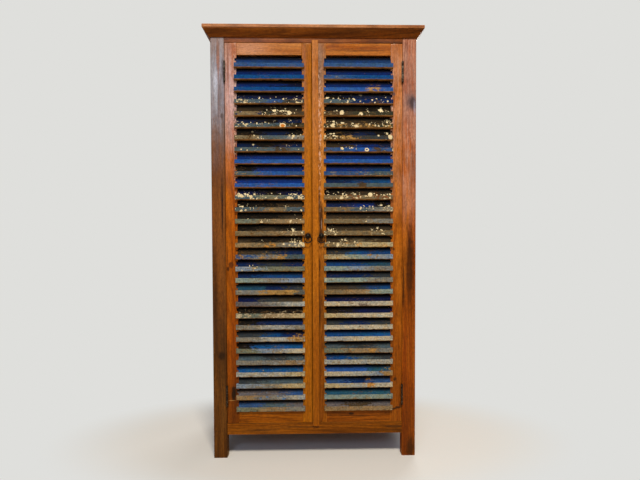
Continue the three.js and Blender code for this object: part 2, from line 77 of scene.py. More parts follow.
# Floor, backdrop and lamps. The floor is pale to the camera, throws a warmer light back, and
# fades into an even pale backdrop. A large soft lamp hangs above and in front. A cooler one at
# the left, like a window, shines in the varnish of the upper parts, and a third lights the back.
backdrop, floor_bounce, floor_seen = "#dfdfdc", "#d8bc8c", "#eceef0"
floor_reach, floor_roughness = 9.0, 0.75
floor_fade = (0.38, 0.66)
room_colour, room_light = "#eef0f4", 0.16
node_work = {"Mix": "data_type", "MapRange": "interpolation_type", "Attribute": "attribute_name"}


def linear(colour):
    """A colour written as an sRGB hex value, turned to linear."""
    parts = [int(colour[i:i + 2], 16) / 255 for i in (1, 3, 5)]
    return [p / 12.92 if p < 0.04045 else ((p + 0.055) / 1.055) ** 2.4 for p in parts] + [1]


def put(node, values):
    """Sets a node's colour stops, properties and inputs. An input that is given a socket is
    linked to it, and hex colours are turned to linear."""
    for name, value in values.items():
        if name == "stops":
            stops = node.color_ramp.elements
            stops[0].position, stops[-1].position = value[0][0], value[-1][0]
            for at, _ in value[1:-1]:
                stops.new(at)
            for stop, (_, colour) in zip(stops, value):
                stop.color = linear(colour)
        elif isinstance(name, str) and hasattr(node, name):
            setattr(node, name, value)
        elif isinstance(value, bpy.types.NodeSocket):
            node.id_data.links.new(node.inputs[name], value)
        else:
            hexed = isinstance(value, str) and value.startswith("#")
            node.inputs[name].default_value = linear(value) if hexed else value


def add_node(tree, kind, values=None):
    """Adds a shader node with its values and links, and gives its outputs. The word after a
    dot in the kind is the node's operation, data type, way of easing or attribute."""
    kind, _, work = kind.partition(".")
    node = tree.nodes.new("ShaderNode" + kind)
    if work:
        setattr(node, node_work.get(kind, "operation"), work)
    put(node, values or {})
    return node.outputs


def start_finish(name):
    """Starts a material. Gives it, its shader, what adds a node to it, and the object's place."""
    finish = bpy.data.materials.new(name)
    finish.use_nodes = True
    add = partial(add_node, finish.node_tree)
    return finish, finish.node_tree.nodes["Principled BSDF"], add, add("TexCoord")["Object"]


floor_mesh = bmesh.new()
bmesh.ops.create_grid(floor_mesh, x_segments=2, y_segments=2, size=floor_reach)
floor_data = bpy.data.meshes.new("floor")
floor_mesh.to_mesh(floor_data)
floor = show("floor", floor_data)
floor_finish, matt, add, place = start_finish("pale_floor")
oval = add("Mapping", {0: place, "Scale": (0.5, 1, 1)})[0]
away = add("VectorMath.LENGTH", {0: oval})["Value"]
far = add("MapRange.SMOOTHSTEP", {0: away, 1: floor_fade[0], 2: floor_fade[1]})[0]
seen = add("LightPath")["Is Camera Ray"]
tint = add("Mix.RGBA", {0: seen, 6: floor_bounce, 7: floor_seen})[2]
put(matt, {"Base Color": tint, "Roughness": floor_roughness})
fade = add("Math.MULTIPLY", {0: far, 1: seen})[0]
glow = add("Emission", {"Color": backdrop})[0]
mixed = add("MixShader", {0: fade, 1: matt.outputs[0], 2: glow})[0]
put(floor_finish.node_tree.nodes["Material Output"], {0: mixed})
floor_data.materials.append(floor_finish)

world = bpy.data.worlds.new("studio")
bpy.context.scene.world = world
world.use_nodes = True
world.node_tree.nodes.clear()
add = partial(add_node, world.node_tree)
rays = add("LightPath")
straight = add("Math.MAXIMUM", {0: rays["Is Camera Ray"], 1: rays["Is Transmission Ray"]})[0]
lit = add("Background", {"Color": room_colour, "Strength": room_light})[0]
shown = add("Background", {"Color": backdrop})[0]
both = add("MixShader", {0: straight, 1: lit, 2: shown})[0]
add("OutputWorld", {0: both})

lamps = {
    # name: (place, aim, width, height, watts, colour)
    "ceiling_lamp": ((0.25, -3.4, 5.2), (0.0, -0.2, 0.8), 1.3, 0.9, 265, "#fff0d8"),
    "window_lamp": ((-1.05, -4.0, 2.75), (0.0, -0.2, 1.3), 1.2, 1.2, 26, "#d8e6ff"),
    "back_lamp": ((1.6, 3.6, 3.0), (0.0, 0.2, 0.9), 2.4, 1.8, 60, "#fffaf2"),
}
for name, (at, aim, width, height, watts, colour) in lamps.items():
    lamp = bpy.data.lights.new(name, "AREA")
    lamp.shape, lamp.size, lamp.size_y = "RECTANGLE", width, height
    lamp.energy, lamp.color = watts, linear(colour)[:3]
    holder = show(name, lamp)
    holder.location = at
    holder.rotation_euler = (Vector(aim) - Vector(at)).to_track_quat("-Z", "Y").to_euler()

# Corner posts. Old house timber, cut and planed into square posts. Each comes from another
# beam, so the left front post is browner and the right one redder, with scorch marks and knots.
grain_axes = {"X": (0, 2, 1), "Y": (1, 2, 0), "Z": (2, 0, 1)}
ring_spacing, figure_size, streak_size = 9 * mm, 42 * mm, 6 * mm
pore_size, fine_grain_size = 1.1 * mm, 2.2 * mm
crazing_size, fleck_size = 7 * mm, 6.5 * mm
grain_stretch, knob_stretch = 0.045, 0.45
bends, sway = 2.6, 45 * mm  # to the metre, and how far
pith_aside, pith_step, pith_rise = 22 * mm, 14 * mm, 62 * mm
ring_waver = 9  # radians
clouds_scale, ragged_scale = 7, 48  # to the metre
raggedness, late_darkness = Vector((0.9, 0, 0.9)), 0.45
rubbed_width = 2.6 * mm
teak_relief = 0.5 * mm
arris_round, weld_reach, eased_angle = 1.2 * mm, 0.02 * mm, math.radians(35)


def on_ellipse(x, z, half_width, half_height):
    """The settings of a Mapping that turns an upright ellipse, in mm, to one of radius 1."""
    return {"Location": (-x / half_width, 0, -z / half_height),
            "Scale": (1 / mm / half_width, 0, 1 / mm / half_height)}


def teak(name, low, high, grain, tones, seed, bloom_and_sheen=None, marks="", chips=None, gloss=0.36,
         figure=1):
    """Varnished reclaimed teak: rings and dark pores run along the board, arrises are rubbed.
    tones are dark, middle and light. bloom_and_sheen is a colour, its lower and upper height in
    metres, and its share: bloomed varnish together with a painted sheen, lighter towards the top.
    Each mark is a colour, x, z, half width and half height in mm, softness and share; a few marks
    are painted highlights or painted light. chips are x, z, half width and half height in mm of a
    place where old varnish has flaked off pale and dark."""
    made, shader, add, place = start_finish(name)
    dark, middle, light = tones
    centre, half = (low + high) / 2, (high - low) / 2
    centred = add("Mapping", {0: place, "Location": -centre})[0]
    axes = add("SeparateXYZ", {0: centred})
    along, across, deep = (axes[i] for i in grain_axes[grain])

    # The grain wanders a little to and fro.
    line = add("CombineXYZ", {0: along, 1: seed * 3.7, 2: seed * 1.9})[0]
    wander = add("TexNoise", {0: line, "Scale": bends, "Detail": 2, "Roughness": 0.4})[0]
    across = add("Math.MULTIPLY_ADD", {0: wander, 1: sway, 2: across})[0]
    short = add("Math.MULTIPLY", {0: along, 1: grain_stretch})[0]
    shifted = add("Math.ADD", {0: short, 1: seed * 1.3})[0]
    fibre = add("CombineXYZ", {0: shifted, 1: across, 2: deep})[0]

    # Year rings round a pith that lies beside the board and runs out of it slowly.
    pith = add("Math.MULTIPLY_ADD", {0: along, 1: 0.035 + 0.01 * (seed % 3), 2: pith_rise})[0]
    radial = add("Math.ADD", {0: deep, 1: pith})[0]
    aside = add("Math.ADD", {0: across, 1: (seed % 5 - 2) * pith_step - pith_aside})[0]
    spoke = add("CombineXYZ", {1: aside, 2: radial})[0]
    reach = add("VectorMath.LENGTH", {0: spoke})["Value"]
    uneven = add("TexNoise", {0: fibre, "Scale": 1 / figure_size, "Detail": 3})[0]
    turns = add("Math.MULTIPLY", {0: reach, 1: 2 * math.pi / ring_spacing})[0]
    phase = add("Math.MULTIPLY_ADD", {0: uneven, 1: ring_waver, 2: turns})[0]
    wave = add("Math.SINE", {0: phase})[0]
    ring = add("MapRange", {0: wave, 1: 0.1, 4: 0.42 * figure})[0]

    # Colour: broad bands, late wood, then streaks.
    bands = add("ValToRGB", {0: uneven, "stops": [(0.3, dark), (0.5, middle), (0.7, light)]})[0]
    late = [late_darkness * c for c in linear(dark)[:3]] + [1]
    colour = add("Mix.RGBA", {0: ring, 6: bands, 7: late})[2]
    streaks = add("TexNoise",
                  {0: fibre, "Scale": 1 / streak_size, "Detail": 4, "Roughness": 0.6})[0]
    thin = add("MapRange", {0: streaks, 1: 0.5, 2: 0.78, 4: 0.75 * figure})[0]
    colour = add("Mix.RGBA", {0: thin, 6: colour, 7: dark})[2]
    pale = add("MapRange", {0: streaks, 1: 0.46, 2: 0.25, 4: 0.55 * figure})[0]
    colour = add("Mix.RGBA", {0: pale, 6: colour, 7: light})[2]
    pores = add("TexNoise", {0: fibre, "Scale": 1 / pore_size, "Detail": 2})[0]
    open_pore = add("MapRange", {0: pores, 1: 0.57, 2: 0.65, 4: 0.6})[0]

    # Varnish that has bloomed, or weathered timber, over a stretch of the height, mixed with a
    # painted sheen that lightens it towards the top.
    patchy = add("TexNoise", {0: place, "Scale": clouds_scale, "Detail": 5, "Roughness": 0.62})[0]
    if bloom_and_sheen:
        bloom_and_sheen_tone, bottom, top, share = bloom_and_sheen
        height = add("SeparateXYZ", {0: place})[2]
        rise = add("MapRange.SMOOTHSTEP", {0: height, 1: bottom, 2: top})[0]
        torn = add("Math.MULTIPLY_ADD", {0: streaks, 1: 1.2, 2: patchy})[0]
        clouds = add("MapRange", {0: torn, 1: 0.9, 2: 1.3, 3: 0.1 * share, 4: share})[0]
        amount = add("Math.MULTIPLY", {0: rise, 1: clouds})[0]
        colour = add("Mix.RGBA", {0: amount, 6: colour, 7: bloom_and_sheen_tone})[2]

    # Knots, cracks and scorched places, each a ragged ellipse on the front.
    ragged = add("TexNoise", {0: place, "Scale": ragged_scale, "Detail": 5})[1]
    for mark in filter(None, marks.split(";")):
        tone, *numbers = mark.split()
        *ellipse, softness, share = (float(number) for number in numbers)
        spot = add("Mapping", {0: place, **on_ellipse(*ellipse)})[0]
        rough = add("VectorMath.MULTIPLY_ADD", {0: ragged, 1: raggedness, 2: spot})[0]
        even = add("VectorMath.SUBTRACT", {0: rough, 1: raggedness / 2})[0]
        off = add("VectorMath.LENGTH", {0: even})["Value"]
        inside = add("MapRange.SMOOTHSTEP",
                     {0: off, 1: 1 + softness, 2: 1 - softness, 4: share})[0]
        colour = add("Mix.RGBA", {0: inside, 6: colour, 7: dark_marks.get(tone, tone)})[2]

    # Old varnish that flaked off in crumbs, down to pale dry wood or to a dark stain.
    long_way = [knob_stretch if axis == grain else 1 for axis in "XYZ"]
    knobbly = add("Mapping", {0: place, "Scale": long_way})[0]
    if chips:
        fleck = add("TexNoise",
                    {0: knobbly, "Scale": 1 / fleck_size, "Detail": 4, "Roughness": 0.6})[0]
        spot = add("Mapping", {0: place, **on_ellipse(*chips)})[0]
        off = add("VectorMath.LENGTH", {0: spot})["Value"]
        inside = add("MapRange", {0: off, 1: 1.2, 2: 0.6, 4: 0.66})[0]
        for edge, full, tone in ((0.53, 0.58, "#d8bcac"), (0.46, 0.41, "#4a2e20")):
            gone = add("MapRange", {0: fleck, 1: edge, 2: full})[0]
            gone = add("Math.MULTIPLY", {0: gone, 1: inside})[0]
            colour = add("Mix.RGBA", {0: gone, 6: colour, 7: tone})[2]

    # Fine grain and open pores show through all that, under varnish crazed by age.
    lines = add("TexNoise",
                {0: fibre, "Scale": 1 / fine_grain_size, "Detail": 5, "Roughness": 0.7})[0]
    lined = add("MapRange", {0: lines, 1: 0.3, 2: 0.7, 3: 0.82, 4: 1.3})[0]
    lined = add("Math.SUBTRACT", {0: lined, 1: open_pore})[0]
    crazed = add("TexNoise",
                 {0: knobbly, "Scale": 1 / crazing_size, "Detail": 4, "Roughness": 0.68})[0]
    craze = add("MapRange", {0: crazed, 1: 0.3, 2: 0.7, 3: 0.74, 4: 1.26})[0]
    craze = add("Math.MULTIPLY", {0: craze, 1: lined})[0]
    colour = add("VectorMath.SCALE", {0: colour, "Scale": craze})[0]

    # Rubbed arrises: the second smallest of the three distances to the board's faces.
    inward = add("VectorMath.ABSOLUTE", {0: centred})[0]
    to_face = add("VectorMath.SUBTRACT", {0: half, 1: inward})[0]
    x, y, z = add("SeparateXYZ", {0: to_face})
    lower = add("Math.MINIMUM", {0: x, 1: y})[0]
    upper = add("Math.MAXIMUM", {0: x, 1: y})[0]
    nearer = add("Math.MINIMUM", {0: upper, 1: z})[0]
    second = add("Math.MAXIMUM", {0: lower, 1: nearer})[0]
    chipped = add("MapRange",
                  {0: patchy, 1: 0.42, 2: 0.66, 3: 0.2 * rubbed_width, 4: 1.6 * rubbed_width})[0]
    rubbed = add("MapRange", {0: second, 1: chipped, 2: 0, 4: 0.55})[0]
    colour = add("Mix.RGBA", {0: rubbed, 6: colour, 7: light})[2]

    # Varnish: glossy with dull patches. Open pores and dents show in it.
    dull = add("MapRange", {0: patchy, 1: 0.35, 2: 0.65, 3: gloss - 0.07, 4: gloss + 0.16})[0]
    dents = add("Math.MULTIPLY_ADD", {0: streaks, 1: 0.6, 2: patchy})[0]
    dents = add("Math.MULTIPLY_ADD", {0: crazed, 1: 0.5, 2: dents})[0]
    sunk = add("Math.MULTIPLY_ADD", {0: open_pore, 1: -0.25, 2: dents})[0]
    relief = add("Bump", {"Strength": 0.55, "Distance": teak_relief, "Height": sunk})[0]
    put(shader, {"Base Color": colour, "Roughness": dull, "Normal": relief,
                 "Specular IOR Level": 0.17, "Coat Weight": 0.08, "Coat Roughness": 0.16})
    return made


def dress(node, grain, seed, arris=arris_round, coat="varnished", **look):
    """Gives a CAD node a teak finish of its own, and eases its arrises with a small round."""
    finish = teak(f"{coat}_teak_{node}", *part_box(node), grain, seed=seed, **look)
    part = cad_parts[node]
    part.data.materials.clear()
    part.data.materials.append(finish)
    weld = part.modifiers.new("joined", "WELD")
    weld.merge_threshold = weld_reach
    ease = part.modifiers.new("eased_arrises", "BEVEL")
    ease.width, ease.segments, ease.limit_method = arris, 2, "ANGLE"
    ease.angle_limit = eased_angle


golden = ("#713a04", "#a45c08", "#bd7818")
orange = ("#742e00", "#a45004", "#bb6810")
brown_teak = ("#452608", "#7a4a16", "#94662c")
red_teak = ("#6c2800", "#a64e04", "#ba6a18")
dark_marks = {"soot": "#1c100a", "knot": "#38200e", "bark": "#7f6a60"}

post_finishes = {
    # Among the left post's marks, #9096ae, #b8c0d8 and #a8b0c4 high up are painted sheen, a
    # window's bluish reflection in the varnish.
    "left_front_post": dict(tones=brown_teak, bloom_and_sheen=("#a0a6b8", 1.2, 1.62, 0.95), marks="""
    #8a5220 -420 950 60 420 .95 .6; #9096ae -420 1660 60 150 .9 .55; knot -411 459 14 17 .5 .85;
    soot -404 1130 2.8 130 .4 .95; #6a4a34 -428 1420 3 160 .6 .6; #6a4a38 -416 1600 4 100 .6 .6;
    soot -440 760 12 200 .7 .55; knot -402 1515 7 11 .4 .75; #8c5430 -416.5 1765 6 80 .6 .8;
    #33282a -399 1720 2 50 .5 .85; #b8c0d8 -429 1665 10 50 .7 .8; #a8b0c4 -427 1585 6 50 .8 .6;
    #8c8a90 -442 1680 6 120 .8 .5; #785a48 -420 1840 60 60 .8 .5; #5c4a40 -396 1460 9 100 .7 .5;
    #64544e -409 1600 5 70 .7 .55; soot -430 500 50 200 .9 .5; soot -398 450 20 160 .7 .4;
    #4a2a0e -420 100 50 200 .9 .4"""),
    # In the right post's marks, #9494ac is a painted bluish highlight beside the knot.
    "right_front_post": dict(tones=red_teak, bloom_and_sheen=("#c89c88", 0.9, 1.36, 0.78), marks="""
    #845852 420 1650 50 160 .9 .5; #62545a 426 1582 22 32 .7 .7; #3c343c 436 1572 15 27 .5 .8;
    #9494ac 443 1556 5 30 .6 .6; soot 424 860 15 170 .6 .85; soot 396 770 4 100 .5 .8;
    soot 430 35 18 45 .6 .9; #5a2e02 420 100 50 300 .9 .5; #5c2e04 420 720 50 220 .9 .45;
    #6e4638 436 1300 12 80 .7 .5"""),
    "left_back_post": dict(tones=brown_teak),
    "right_back_post": dict(tones=orange),
}
for seed, (node, look) in enumerate(post_finishes.items()):
    dress(node, "Z", seed + 3, 1.6 * mm, **look)

# Rails of the case front. The header and the bottom rail are tenoned between the front posts
# and lie flush with them. Dark cracks run along the bottom rail.
front_rails = {
    "front_header_rail": dict(tones=("#50260a", "#7a4014", "#945a2a")),
    "front_bottom_rail": dict(tones=("#552a00", "#8a4c02", "#a46414"), marks="""
    knot 355 133 50 6 .5 .7; knot -250 122 70 5 .6 .6; knot -50 135 90 4 .6 .5"""),
}
for seed, (node, look) in enumerate(front_rails.items()):
    dress(node, "X", seed + 8, **look)

# Sides. Each side is a frame of two rails between the posts, round a panel of upright boards.
# The left one is as brown as its post.
hands = ("left", "right")
for seed, hand in enumerate(hands):
    tones = brown_teak if hand == "left" else orange
    for step, place in enumerate(("lower", "upper")):
        dress(f"{hand}_side_{place}_rail", "Y", seed + 2 * step + 11, tones=tones)
    dress(f"{hand}_side_panel", "Z", seed + 15, 0.6 * mm, tones=golden)

# Back. The back is framed like the sides, with a muntin between its two boarded panels. It is
# only oiled, so it is duller than the front.
for seed, (place, grain) in enumerate((("lower_rail", "X"), ("upper_rail", "X"), ("muntin", "Z"))):
    dress("back_" + place, grain, seed + 19, coat="oiled", tones=brown_teak, gloss=0.5)
for seed, hand in enumerate(hands):
    dress(hand + "_back_panel", "Z", seed + 23, 0.6 * mm, "oiled",
          tones=("#4f3216", "#7a5226", "#946a3c"), gloss=0.52)

# Bottom, shelves, cleats and door stop. Plain boards, thinly oiled and never varnished, so
# they are duller than the outside.
plain = dict(coat="oiled", tones=("#4a2f17", "#6f4c28", "#8a6640"), gloss=0.58)
boards = ("bottom_board", "lower_shelf", "middle_shelf", "upper_shelf", "door_stop_batten")
for seed, node in enumerate(boards):
    dress(node, "X", seed + 27, **plain)
for seed, place in enumerate(("lower", "middle", "upper")):
    for hand in hands:
        dress(f"{hand}_{place}_cleat", "Y", seed + 33, **plain)

# Top board and cornice. A thin top board lies on a sloped moulding, mitred at the front
# corners and pinned to the rails.
dress("top_board", "X", 37, 1 * mm, tones=("#7c441a", "#a86e42", "#c08e66"))
for seed, (hand, grain) in enumerate((("front", "X"), ("left", "Y"), ("right", "Y"))):
    dress(hand + "_cornice_moulding", grain, seed + 39, 0.8 * mm,
          tones=("#5e2c02", "#8c4c0c", "#a2621a"))

# Door frames. Two shutter leaves with upright stiles, tenoned rails and fixed slats housed in
# the stiles. The stiles' inner arrises are worn hollow between the ends of the slats.
slat_count = 30
slat_pitch = 1510.5 / 29 * mm
lowest_slat = 209 * mm
hollow_depth, hollow_width = 0.5 * mm, 3 * mm
hollow_from, hollow_to = 0.5, 0.98
stile_step = slat_pitch / 8
sharp_edge = math.radians(26)


def piece_from(bm, name, finish, body, replaced):
    """Turns a finished bmesh into a piece that rides on a body, with sharp edges kept sharp."""
    bmesh.ops.recalc_face_normals(bm, faces=bm.faces)
    for face in bm.faces:
        face.smooth = True
    for edge in bm.edges:
        edge.smooth = len(edge.link_faces) == 2 and edge.calc_face_angle(0) < sharp_edge
    data = bpy.data.meshes.new(name)
    bm.to_mesh(data)
    bm.free()
    data.materials.append(finish)
    piece = show(name, data)
    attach(piece, body)
    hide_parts(replaced)


def block(bm, low, high):
    """Adds a sharp block between two corners to a bmesh."""
    verts = bmesh.ops.create_cube(bm, size=1)["verts"]
    bmesh.ops.scale(bm, vec=high - low, verts=verts)
    bmesh.ops.translate(bm, vec=(low + high) / 2, verts=verts)


def round_off(bm, edges, width, segments, **more):
    """Rounds edges of a bmesh."""
    bmesh.ops.bevel(bm, geom=edges, offset=width, segments=segments, affect="EDGES", profile=0.5,
                    material=-1, **more)


def board(low, high, arris, segments=2):
    """A board between two corners, with all its arrises rounded."""
    bm = bmesh.new()
    block(bm, low, high)
    round_off(bm, bm.edges[:], arris, segments, clamp_overlap=True)
    return bm


def stile(name, low, high, opening_x, finish, replaced):
    """An upright of a door, with the arris towards the slats worn between the slat ends."""
    bm = board(low, high, arris_round)
    level = low.z + stile_step
    while level < high.z - stile_step:
        bmesh.ops.bisect_plane(bm, geom=bm.verts[:] + bm.edges[:] + bm.faces[:], dist=1e-6,
                               plane_co=(0, 0, level), plane_no=(0, 0, 1))
        level += stile_step
    into_wood = 1 if opening_x < (low.x + high.x) / 2 else -1
    wear = random.Random(name)
    depths = [wear.uniform(0.4, 1.5) * hollow_depth for _ in range(slat_count + 2)]
    for vert in bm.verts:
        from_opening = abs(vert.co.x - opening_x)
        from_front = vert.co.y - low.y
        if max(from_opening, from_front) < hollow_width:
            count, phase = divmod((vert.co.z - lowest_slat) / slat_pitch, 1)
            if -1 <= count < slat_count and hollow_from < phase < hollow_to:
                swing = (phase - hollow_from) / (hollow_to - hollow_from) * math.pi
                bite = depths[int(count) + 1] * math.sin(swing)
                vert.co.x += into_wood * bite * (1 - from_front / hollow_width / 2)
                vert.co.y += bite * 0.8 * (1 - from_opening / hollow_width / 2)
    piece_from(bm, name, finish, name.split("_")[0] + "_door", replaced)


stile_looks = {
    # In the left hinge stile's marks, #ccb4bc high up is a painted pinkish highlight.
    "left_hinge": dict(tones=("#783400", "#a25002", "#b6640a"),
        bloom_and_sheen=("#cfb2aa", 1.15, 1.6, 0.9), marks="""
    #452506 -360 160 60 200 .9 .6; soot -361 290 9 34 .35 .95; soot -352 300 8 22 .4 .6;
    #c39a5c -368 258.5 14 1.3 .3 .65; knot -368 862 11 14 .4 .85; soot -383 900 2.2 50 .4 .7;
    #763804 -368.5 790 50 140 .9 .35; #ccb4bc -368.5 1630 50 180 .8 .5;
    #84502e -368.5 1840 50 80 .8 .6; #7e4218 -374 1720 4.5 90 .6 .7;
    #a4581e -350 1790 13 100 .7 .65; soot -381 845 6 9 .4 .8""",
        chips=(-344.5, 1500, 8, 340)),
    # In the left meeting stile's marks, #c47a0e is painted light, a broad lighter glow over the
    # middle of the height.
    "left_meeting": dict(tones=("#7c4002", "#aa6406", "#bc7a14"), marks="""
    #c47a0e -32 920 90 660 .95 .55; #6e3a06 -13.5 800 2.5 700 .9 .5;
    soot -29.3 988 14.8 15.5 .3 .85"""),
    # In the right meeting stile's marks, #d88c30 is painted light over the middle of the height,
    # and #bcaaa0 is a painted highlight streak above the pull.
    "right_meeting": dict(tones=("#6a3000", "#a05c08", "#ba7828"),
        bloom_and_sheen=("#c89878", 1.2, 1.5, 0.6), marks="""
    #d88c30 45 1220 40 420 .9 .6; #7e4408 36 1850 30 80 .8 .7; bark 26 1720 19 100 .7 .75;
    #4c2202 28 660 20 340 .8 .3; soot 26 660 12 60 .8 .4; #6e3402 30 250 30 200 .9 .3;
    soot 30 1060 8 75 .5 .85; soot 30.8 984 15.5 26 .4 .75; soot 22 1130 4 60 .5 .7;
    #bcaaa0 31.5 1040 1.4 22 .4 .6; soot 24 860 3 30 .5 .7; soot 22 600 5 220 .8 .25;
    knot 40 500 8 20 .5 .5""",
        chips=(24, 1460, 11, 330)),
    "right_hinge": dict(tones=("#7c3602", "#aa5c08", "#c0741e"),
        bloom_and_sheen=("#cc9a7c", 1.0, 1.5, 0.68), marks="""
    #7a3e04 360 300 60 400 .9 .6; #94500a 360 1850 50 80 .8 .65; #4a4048 351 1612 7 8 .4 .8;
    knot 359 348 7 9 .4 .85; soot 354 213 12 4 .4 .85; soot 370 219 12 5 .4 .85;
    soot 383 228 6 12 .4 .7; knot 352 930 5 6 .4 .8""",
        chips=(343, 1450, 6, 250)),
}
door_low, door_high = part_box("left_door_meeting_stile")
door_front = door_low.y
opening = {"left": (-336.9 * mm, -53 * mm), "right": (53 * mm, 336.9 * mm)}
for seed, (key, look) in enumerate(stile_looks.items()):
    hand, part = key.split("_")
    node = f"{hand}_door_" + ("meeting_stile" if part == "meeting" else "louvres")
    low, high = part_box(node)
    right_of_slats = key in ("left_meeting", "right_hinge")
    opening_x = opening[hand][right_of_slats]
    low = Vector((opening_x if right_of_slats else low.x, door_front, door_low.z))
    high = Vector((high.x if right_of_slats else opening_x, door_high.y, door_high.z))
    name = f"{hand}_{part}_stile"
    finish = teak("varnished_teak_" + name, low, high, "Z", seed=seed + 43, **look)
    stile(name, low, high, opening_x, finish, node)

rail_looks = {
    # In the left top rail's marks, #c8987c at the left is a painted pinkish sheen.
    "left_door_top_rail": dict(tones=("#7a3c06", "#a8641e", "#bc7c3a"), figure=0.6, marks="""
    #c8987c -290 1810 70 40 .9 .45"""),
    "left_door_bottom_rail": dict(tones=("#683200", "#9a5402", "#b06a0c")),
    "right_door_top_rail": dict(tones=("#743404", "#a45c14", "#ba7428"), figure=0.6, marks="""
    knot 200 1800 120 4 .7 .5"""),
    "right_door_bottom_rail": dict(tones=("#622e00", "#904c04", "#a86014"), marks="""
    soot 164 194 11 5 .4 .9; knot 170 185 90 2.5 .5 .7"""),
}
for seed, (node, look) in enumerate(rail_looks.items()):
    dress(node, "X", seed + 48, **look)

# Meeting strip. A raised strip, glued and pinned on the right leaf, covers the gap between the
# leaves and laps a little over the left one.
strip_lap = 1.4 * mm
strip_round, strip_foot_round = 3 * mm, 6 * mm
strip_low, strip_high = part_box("right_door_meeting_strip")
strip_low.x -= strip_lap
strip = bmesh.new()
block(strip, strip_low, strip_high)
foot_corners = [e for e in strip.edges if abs(e.verts[0].co.y - e.verts[1].co.y) > mm
                and e.verts[0].co.z < strip_low.z + mm]
round_off(strip, foot_corners, strip_foot_round, 6)
front_arris = [e for e in strip.edges if all(v.co.y < strip_low.y + 0.1 * mm for v in e.verts)
               and not all(v.co.z > strip_high.z - mm for v in e.verts)]
round_off(strip, front_arris, strip_round, 5, clamp_overlap=False)
# In the strip's marks, #c47818 is painted light, a broad lighter glow over the middle of the
# height.
strip_finish = teak("varnished_teak_meeting_strip", strip_low, strip_high, "Z",
                    ("#7c3a02", "#aa640c", "#be7c26"), 53,
                    bloom_and_sheen=("#c88c5c", 1.1, 1.6, 0.6), marks="""
    #c47818 6 950 50 600 .95 .6; #a05c14 6 1850 30 80 .8 .5; #8e4c02 6 300 30 300 .9 .5""")
piece_from(strip, "meeting_strip", strip_finish, "right_door", "right_door_meeting_strip")

# Painted slats. Thirty a leaf, sawn from old painted boards. Each keeps its own flaking enamel,
# so no two match. The nose stands plumb in front of the stiles, and its lower arris is bare.
# Corners of the section: y, z and the girth, measured up over the nose and the sloping face.
section = [(-7.8, 0, -1.3), (-0.01, 0, -9.1), (24.44, 48, 73.5), (1.99, 48, 51.1),
           (-11, 22.5, 22.5), (-11, 3.2, 3.2)]
back_edge, back_girth = 1, 60
section_cuts = (2, 5, 3, 8, 7, 1)
nose_top = 22.5 * mm
slat_step = 4.2 * mm
horn, tongue = 10 * mm, 8.5 * mm
stile_clearance = 0.3 * mm
slat_slip, lean_reach = 1 * mm, 300 * mm
# The nose wavers in long and short waves, and its lower arris is bitten. Waves are to the metre.
nose_waver, long_waves, short_waves = 0.55 * mm, 30, 90
arris_bite, bite_waves, bite_level, bitten_girth = 3.3 * mm, 55, 0.12, 5 * mm

paints = {word: linear(colour) for word, colour in {
    "cobalt": "#2c5eb0", "blue": "#104b8c", "denim": "#34588e", "royal": "#083c9a",
    "sea": "#165c9e", "ink": "#0a2c62", "navy": "#081a50", "teal": "#285a76", "dusk": "#3a4248",
    "slate": "#50646f", "sky": "#5084c8", "mist": "#8c9eb2", "mint": "#92a6a0", "mauve": "#6e6a6e",
    "stone": "#b0b4b0", "grey": "#8a8b85", "moss": "#7c8474", "ivory": "#c8c2ae",
    "cream": "#c2b48e", "sand": "#9e8866", "ochre": "#b08e56", "orange": "#c8944a",
    "rust": "#7e4c30", "drab": "#84765a", "umber": "#4c4030", "olive": "#3a3c30",
    "dark": "#1e1b17",
}.items()}
